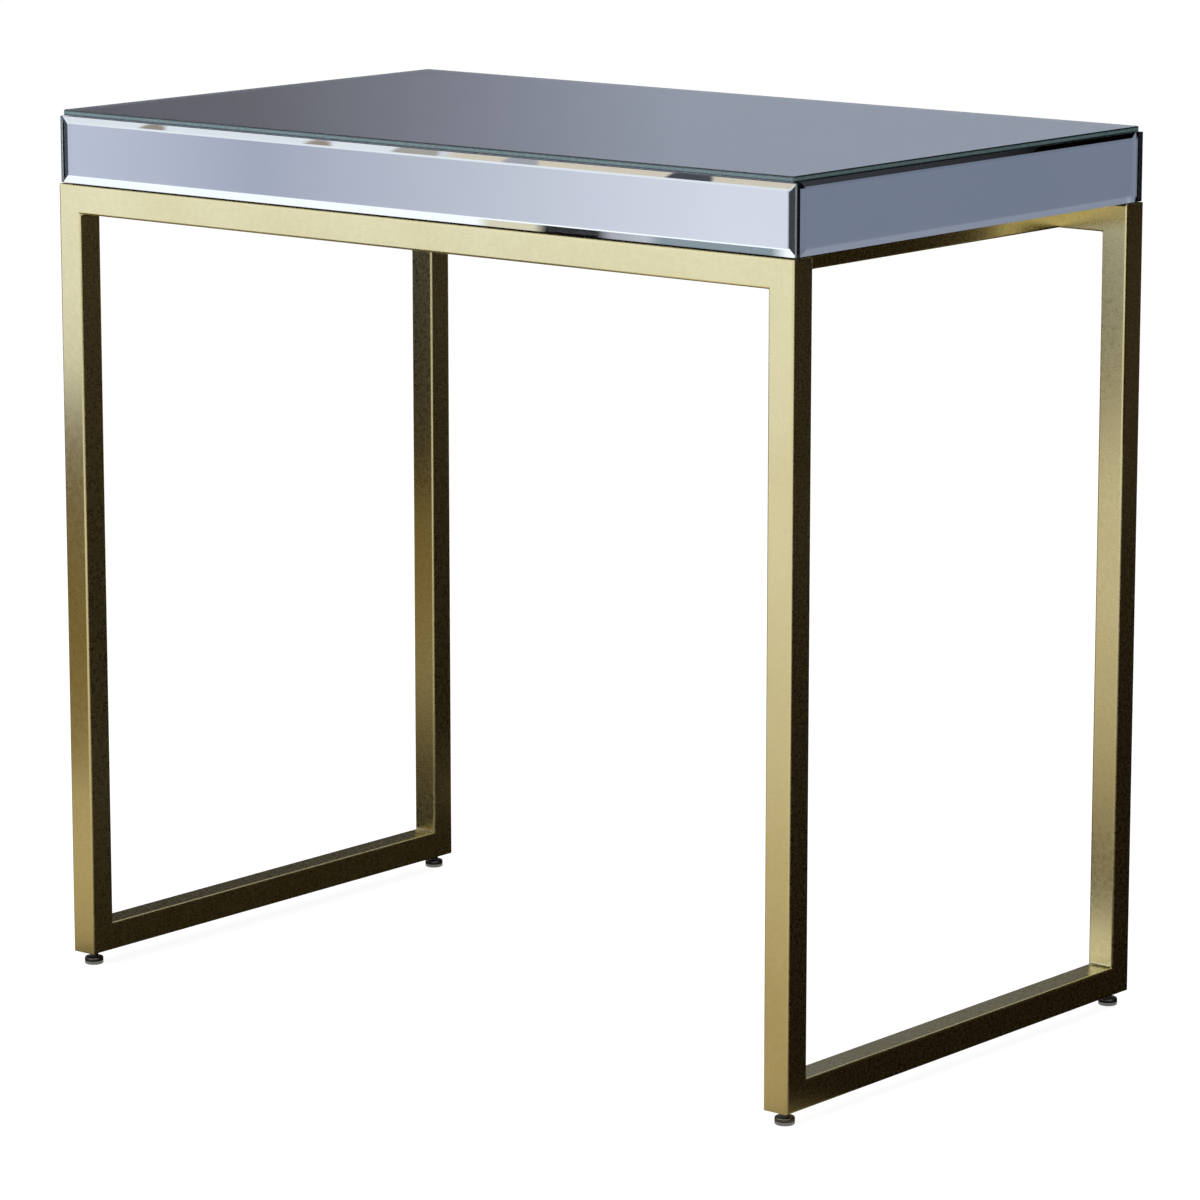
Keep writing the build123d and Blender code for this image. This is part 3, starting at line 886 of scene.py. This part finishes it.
def make_mirror_cards():
    """What the front and side mirrors show."""
    pale = (0.86, 0.835, 0.90)
    front = [
        (0.00, WHITE),
        (0.18, pale),
        (0.33, (0.84, 0.81, 0.88)),
        (0.42, (0.63, 0.63, 0.69)),
        (0.53, (0.42, 0.43, 0.52)),
        (0.61, (0.585, 0.595, 0.69)),
        (0.80, pale),
        (1.00, WHITE),
    ]
    grey_teal = (0.204, 0.252, 0.280)
    dark = (0.008, 0.006, 0.006)
    cream = (0.70, 0.62, 0.44)
    bevel = [
        (0.05, WHITE),
        (0.07, grey_teal),
        (0.205, grey_teal),
        (0.222, (0.46, 0.46, 0.50)),
        (0.268, (0.34, 0.34, 0.38)),
        (0.282, dark),
        (0.345, dark),
        (0.360, cream),
        (0.415, cream),
        (0.430, WHITE),
    ]
    mirror_card("card_front_left", front,
                bearing=FRONT_BEARING, distance=4.0, width=3.6, low=0.0, high=0.72)
    mirror_card("softbox_front_left", EVEN, glow=SOFTBOX_GLOW, soft=True,
                bearing=FRONT_BEARING, distance=4.0, width=5.0, low=0.75, high=2.3)
    mirror_card("strip_front_left", bevel, glow=SOFTBOX_GLOW,
                bearing=-129.55, distance=3.95, width=1.3, low=1.40, high=1.58)
    mirror_card("card_back_right", plain((0.235, 0.262, 0.335)), soft=True,
                bearing=SIDE_BEARING, distance=2.95, width=4.4, low=0.0, high=1.35)
    mirror_card("card_back_right_high", plain((0.37, 0.395, 0.475)), soft=True,
                bearing=SIDE_BEARING, distance=3.0, width=4.4, low=0.0, high=2.7)


def make_metal_cards():
    """What the satin tubes show: a wide dark card, a bright one, and small ones that shade single legs."""
    dark = (0.016, 0.010, 0.006)
    black = (0.015, 0.010, 0.004)
    darker_up = [(0.025, WHITE), (0.11, (0.25, 0.21, 0.19))]
    darker_above = [(0.5, WHITE), (1.0, (0.6, 0.55, 0.5))]
    metal_card("shade_back_right", (0.065, 0.049, 0.033), darker_up, soft=True,
               bearing=SIDE_BEARING, distance=3.1, width=8.4, low=0.0, high=4.6)
    metal_card("glow_front_left", (0.735, 0.81, 1.0), glow=METAL_GLOW, soft=True,
               bearing=FRONT_BEARING, distance=4.1, width=7.0, low=0.0, high=3.4)
    metal_card("shade_front", dark,
               bearing=-98, distance=3.5, width=0.30, low=0.15, high=0.45)
    metal_card("shade_left", dark,
               bearing=-164, distance=3.5, width=0.35, low=0.20, high=0.50)
    metal_card("flag_left", (0.20, 0.142, 0.045), darker_above,
               bearing=-154.7, distance=1.02, width=1.2, low=0.035, high=0.42)
    metal_card("flag_far_left", black,
               bearing=-171.9, distance=0.713, width=0.56, low=0.28, high=0.75)
    metal_card("flag_front", (0.02, 0.01, 0.0),
               bearing=-107, distance=0.40, width=0.30, low=0.39, high=0.60)
    metal_card("flag_right", black,
               bearing=19, distance=0.6135, width=0.30, low=0.47, high=0.75)


def lamp(name, place, aim, size, power, tint):
    """A soft lamp that mirrors and metal don't show, so that no bright square stands in them."""
    data = bpy.data.lights.new(name, "AREA")
    data.shape = "RECTANGLE"
    data.size, data.size_y = size
    data.energy = power
    data.color = tint
    made = bpy.data.objects.new(name, data)
    bpy.context.scene.collection.objects.link(made)
    made.location = place
    made.rotation_euler = (Vector(aim) - Vector(place)).to_track_quat("-Z", "Y").to_euler()
    made.visible_glossy = False
    made.visible_transmission = False


def make_lamps():
    lamp("key", place=(-2.2, -2.9, 2.9), aim=(0, 0, 0.45),
         size=(1.8, 1.8), power=90, tint=(1.0, 1.0, 0.99))
    lamp("overhead", place=(0.0, 0.2, 3.4), aim=(0, 0, 0.4),
         size=(2.4, 1.8), power=45, tint=(1.0, 0.99, 0.97))
    lamp("fill", place=(3.2, -1.4, 2.2), aim=(0, 0, 0.5),
         size=(1.5, 1.5), power=5, tint=(0.95, 0.97, 1.0))


def make_camera():
    data = bpy.data.cameras.new("camera")
    data.lens = CAMERA_LENS
    data.sensor_width = CAMERA_SENSOR
    camera = bpy.data.objects.new("camera", data)
    bpy.context.scene.collection.objects.link(camera)
    camera.location = CAMERA_PLACE
    camera.rotation_euler = (math.radians(90 - CAMERA_TILT), 0, math.radians(CAMERA_AZIMUTH))
    bpy.context.scene.camera = camera


dress_nodes()
make_silver()
for foot in FEET:
    threaded_stem(foot)
    knurled_pad(foot)
make_screws()
make_world()
make_floor()
make_floor_tone()
make_back_left()
make_mirror_cards()
make_metal_cards()
make_lamps()
make_camera()
bpy.context.scene.view_settings.view_transform = "Standard"
